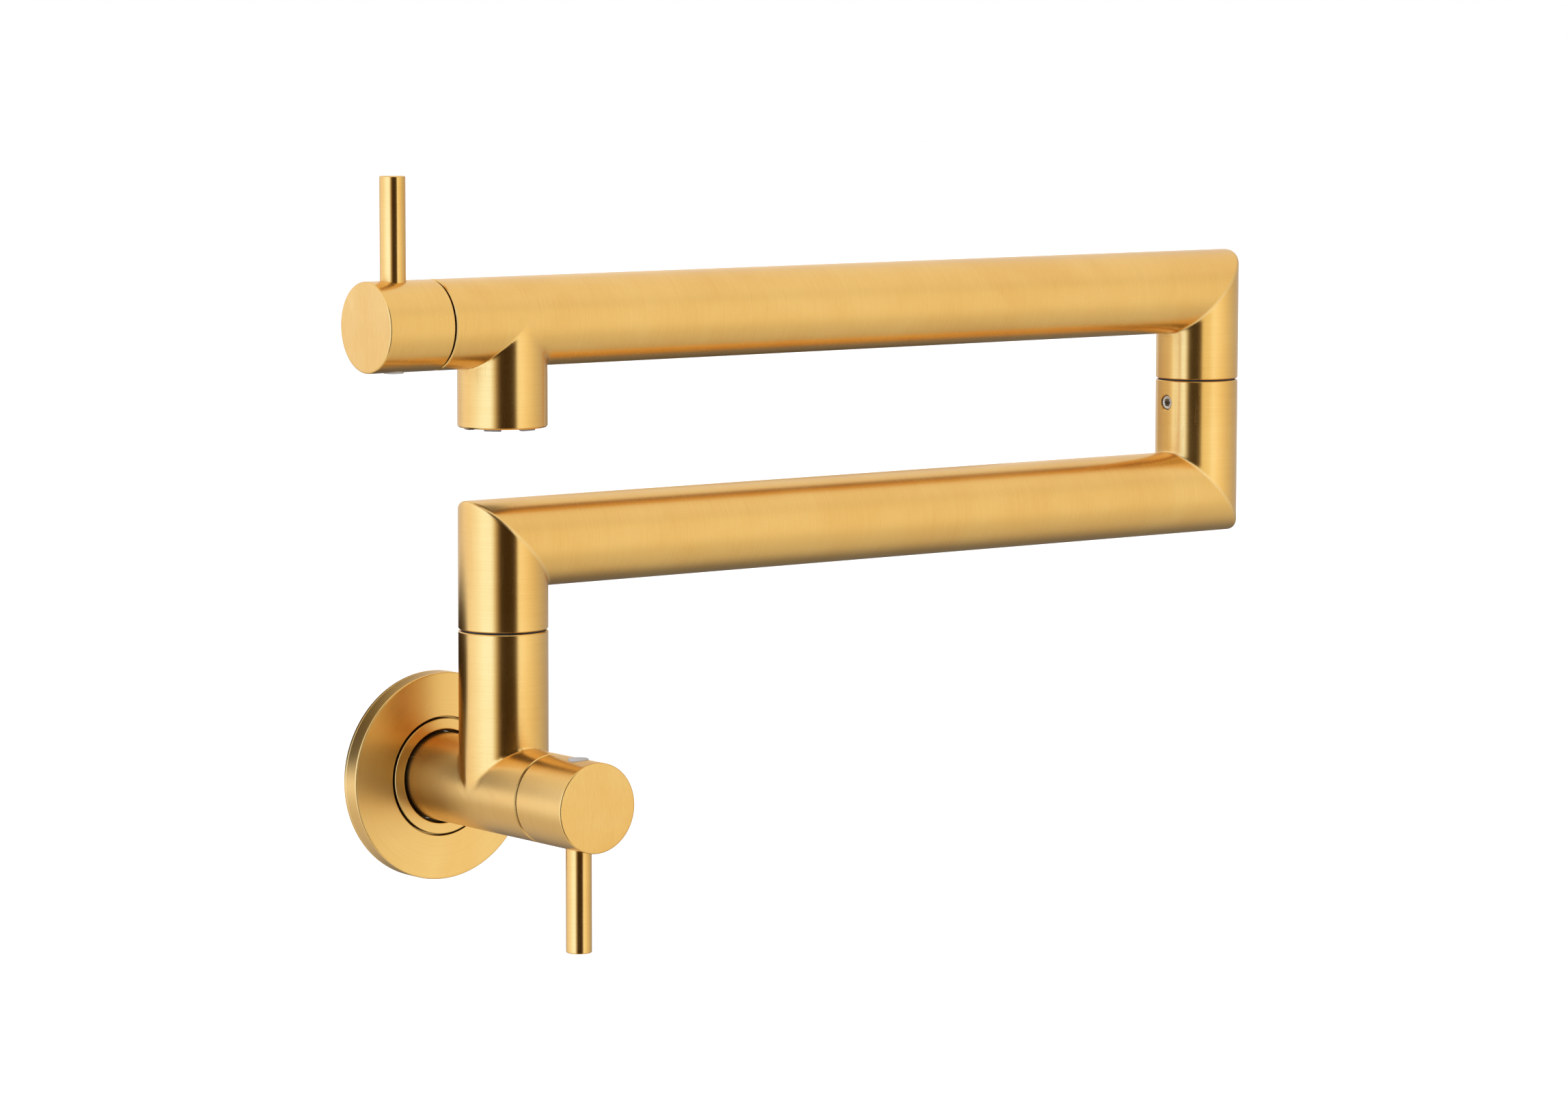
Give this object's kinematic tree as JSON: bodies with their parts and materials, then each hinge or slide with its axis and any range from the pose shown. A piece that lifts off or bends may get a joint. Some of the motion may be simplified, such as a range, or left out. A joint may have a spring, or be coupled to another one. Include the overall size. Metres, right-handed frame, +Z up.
{
  "type": "wall mounted pot filler",
  "caption": "Wall mounted pot filler tap: a folding double jointed arm of mitred round tube, with a quarter turn lever valve at the wall and another at the spout.",
  "frame": {"origin": "on the inlet axis at the wall face, in the plane of the back of the wall flange", "axes": "+Y into the wall along the inlet, +X along the folded arms, +Z up"},
  "size_m": [0.3526, 0.1066, 0.2369],
  "materials": {
    "brushed_gold": "brushed gold coat, brushed round each tube",
    "plain_brass": "machined, uncoated",
    "steel": "bright stainless",
    "ceramic": "lapped ceramic",
    "rubber": "moulded",
    "black_plastic": "machined acetal",
    "grey_plastic": "moulded, fine grain"
  },
  "bodies": {
    "inlet": {"wall_flange": "brushed_gold", "flange_gasket": "rubber", "flange_collar": "brushed_gold", "inlet_nipple": "plain_brass", "inlet_washer": "rubber", "inlet_strainer": "steel", "inlet_body": "brushed_gold", "wall_swivel_washer": "black_plastic", "wall_swivel_screw": "steel", "wall_cartridge_body": "plain_brass", "wall_cartridge_nut": "plain_brass", "wall_cartridge_seal": "rubber", "wall_cartridge_o_ring": "rubber", "wall_fixed_disc": "ceramic"},
    "lower_arm": {"lower_arm": "brushed_gold", "wall_swivel_spigot": "plain_brass", "wall_swivel_o_rings": "rubber", "elbow_swivel_washer": "black_plastic", "elbow_swivel_screw": "steel"},
    "upper_arm": {"upper_arm": "brushed_gold", "elbow_swivel_spigot": "plain_brass", "elbow_swivel_o_rings": "rubber", "aerator_housing": "grey_plastic", "aerator_core": "grey_plastic", "aerator_screen": "steel", "aerator_gasket": "rubber", "spout_cartridge_body": "plain_brass", "spout_cartridge_nut": "plain_brass", "spout_cartridge_seal": "rubber", "spout_cartridge_o_ring": "rubber", "spout_fixed_disc": "ceramic"},
    "wall_valve_handle": {"wall_moving_disc": "ceramic", "wall_spindle": "plain_brass", "wall_spindle_o_rings": "rubber", "wall_spindle_clip": "steel", "wall_handle": "brushed_gold", "wall_lever": "brushed_gold", "wall_handle_screw": "steel", "wall_handle_plug": "grey_plastic"},
    "spout_valve_handle": {"spout_moving_disc": "ceramic", "spout_spindle": "plain_brass", "spout_spindle_o_rings": "rubber", "spout_spindle_clip": "steel", "spout_handle": "brushed_gold", "spout_lever": "brushed_gold", "spout_handle_screw": "steel", "spout_handle_plug": "grey_plastic"}
  },
  "joints": [
    {"name": "wall_swivel", "type": "hinge", "parent": "inlet", "child": "lower_arm", "pos_m": [0, -0.0405, 0.0501], "axis": [0, 0, -1], "range_deg": [0, 180]},
    {"name": "elbow_swivel", "type": "hinge", "parent": "lower_arm", "child": "upper_arm", "pos_m": [0.2885, -0.0405, 0.1156], "axis": [0, 0, 1], "continuous": true},
    {"name": "wall_valve_turn", "type": "hinge", "parent": "inlet", "child": "wall_valve_handle", "pos_m": [0, -0.0806, 0], "axis": [0, -1, 0], "range_deg": [0, 90]},
    {"name": "spout_valve_turn", "type": "hinge", "parent": "upper_arm", "child": "spout_valve_handle", "pos_m": [-0.0401, -0.0405, 0.1455], "axis": [1, 0, 0], "range_deg": [0, 90]}
  ]
}
